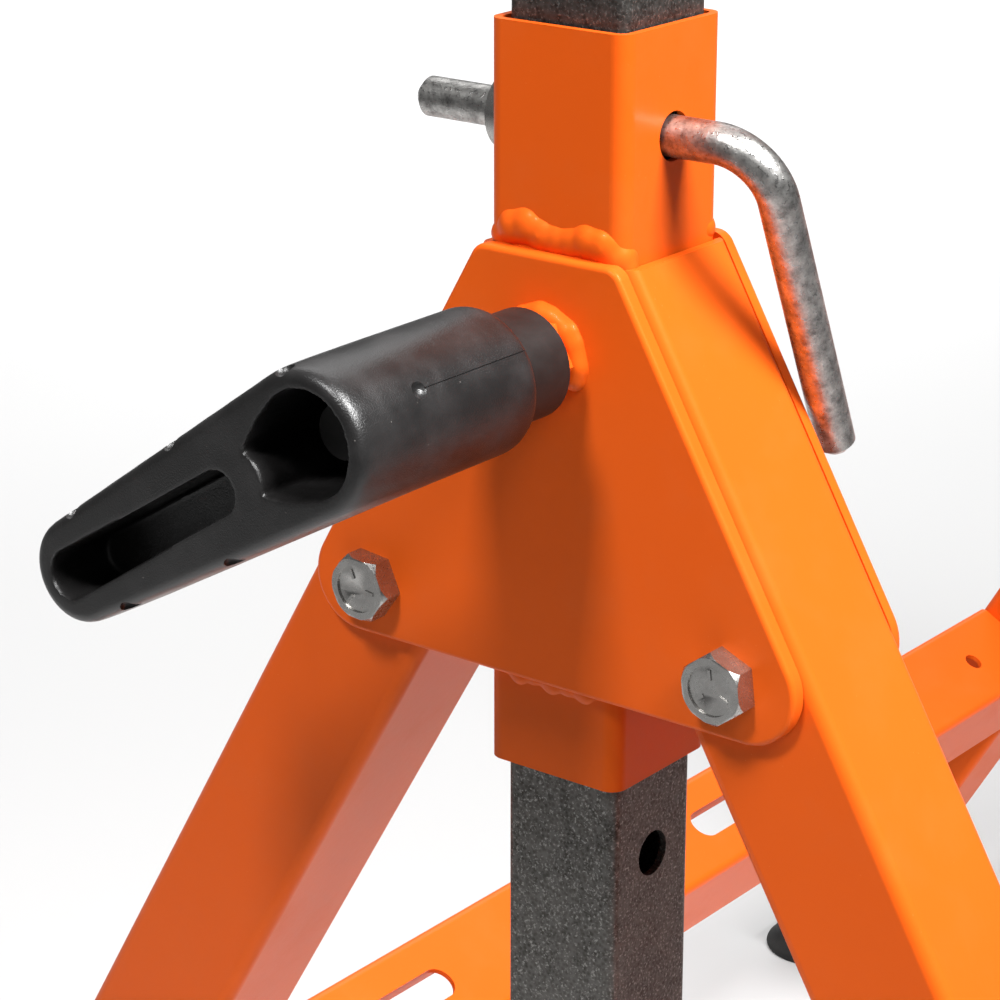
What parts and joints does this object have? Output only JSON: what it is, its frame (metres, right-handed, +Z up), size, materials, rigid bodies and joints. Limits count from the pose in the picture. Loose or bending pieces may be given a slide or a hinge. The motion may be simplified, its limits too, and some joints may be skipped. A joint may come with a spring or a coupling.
{
  "type": "folding sawhorse",
  "caption": "Folding trestle with pivoting leg frames, a pin-and-clamp height-adjustable top beam and rubber feet.",
  "frame": {"origin": "on the floor at the centre of the open stand", "axes": "+Z up, +Y along the top beam, +X across the spread of the legs"},
  "size_m": [0.667, 0.836, 0.755],
  "materials": {
    "orange_paint": "glossy powder coat",
    "galvanised": "dull speckled zinc",
    "zinc": "bright zinc plate",
    "black_steel": "black oxide",
    "black_plastic": "fine grained satin",
    "rubber": "matt"
  },
  "bodies": {
    "heads": {"front_sleeve": "orange_paint", "front_outer_gusset": "orange_paint", "front_inner_gusset": "orange_paint", "front_clamp_nut": "orange_paint", "front_pin_bush": "zinc", "front_pivot_bolts": "zinc", "front_pivot_washers": "zinc", "front_pivot_nuts": "zinc", "rear_sleeve": "orange_paint", "rear_outer_gusset": "orange_paint", "rear_inner_gusset": "orange_paint", "rear_clamp_nut": "orange_paint", "rear_pin_bush": "zinc", "rear_pivot_bolts": "zinc", "rear_pivot_washers": "zinc", "rear_pivot_nuts": "zinc"},
    "left_frame": {"front_left_leg": "orange_paint", "front_left_foot": "rubber", "rear_left_leg": "orange_paint", "rear_left_foot": "rubber", "left_side_rail": "orange_paint"},
    "right_frame": {"front_right_leg": "orange_paint", "front_right_foot": "rubber", "rear_right_leg": "orange_paint", "rear_right_foot": "rubber", "right_side_rail": "orange_paint"},
    "lift": {"front_post": "galvanised", "front_post_plug": "black_plastic", "front_beam_cap": "black_plastic", "front_beam_bolts": "zinc", "front_beam_nuts": "zinc", "rear_post": "galvanised", "rear_post_plug": "black_plastic", "rear_beam_cap": "black_plastic", "rear_beam_bolts": "zinc", "rear_beam_nuts": "zinc", "top_beam": "orange_paint", "grip_strip": "rubber"},
    "front_clamp": {"front_clamp_stud": "zinc", "front_clamp_collar": "black_steel", "front_retaining_screw": "zinc", "front_lever_spring": "zinc"},
    "front_lever": {"front_clamp_lever": "black_plastic"},
    "front_lock_pin": {"front_lock_pin": "galvanised"},
    "rear_clamp": {"rear_clamp_stud": "zinc", "rear_clamp_collar": "black_steel", "rear_retaining_screw": "zinc", "rear_lever_spring": "zinc"},
    "rear_lever": {"rear_clamp_lever": "black_plastic"},
    "rear_lock_pin": {"rear_lock_pin": "galvanised"}
  },
  "joints": [
    {"name": "left_fold", "type": "hinge", "parent": "heads", "child": "left_frame", "pos_m": [-0.054, 0, 0.447], "axis": [0, -1, 0], "range_deg": [0, 30]},
    {"name": "right_fold", "type": "hinge", "parent": "heads", "child": "right_frame", "pos_m": [0.054, 0, 0.447], "axis": [0, 1, 0], "range_deg": [0, 30]},
    {"name": "height_adjust", "type": "slide", "parent": "heads", "child": "lift", "axis": [0, 0, 1], "range_m": [-0.093, 0.186]},
    {"name": "front_clamp_turn", "type": "hinge", "parent": "heads", "child": "front_clamp", "pos_m": [0, -0.331, 0.517], "axis": [0, -1, 0], "range_deg": [0, 270]},
    {"name": "front_lever_lift", "type": "slide", "parent": "front_clamp", "child": "front_lever", "axis": [0, -1, 0], "range_m": [0, 0.005], "stiffness_N_per_m": 600, "springref_m": -0.005, "deforming": ["front_lever_spring"]},
    {"name": "front_pin_pull", "type": "slide", "parent": "heads", "child": "front_lock_pin", "axis": [1, 0, 0], "range_m": [0, 0.07]},
    {"name": "rear_clamp_turn", "type": "hinge", "parent": "heads", "child": "rear_clamp", "pos_m": [0, 0.331, 0.517], "axis": [0, 1, 0], "range_deg": [0, 270]},
    {"name": "rear_lever_lift", "type": "slide", "parent": "rear_clamp", "child": "rear_lever", "axis": [0, 1, 0], "range_m": [0, 0.005], "stiffness_N_per_m": 600, "springref_m": -0.005, "deforming": ["rear_lever_spring"]},
    {"name": "rear_pin_pull", "type": "slide", "parent": "heads", "child": "rear_lock_pin", "axis": [-1, 0, 0], "range_m": [0, 0.07]}
  ],
  "couplings": [
    {"joint": "front_pin_pull", "follows": "right_fold", "m_per_rad": 0.1336},
    {"joint": "rear_pin_pull", "follows": "left_fold", "m_per_rad": 0.1336}
  ]
}
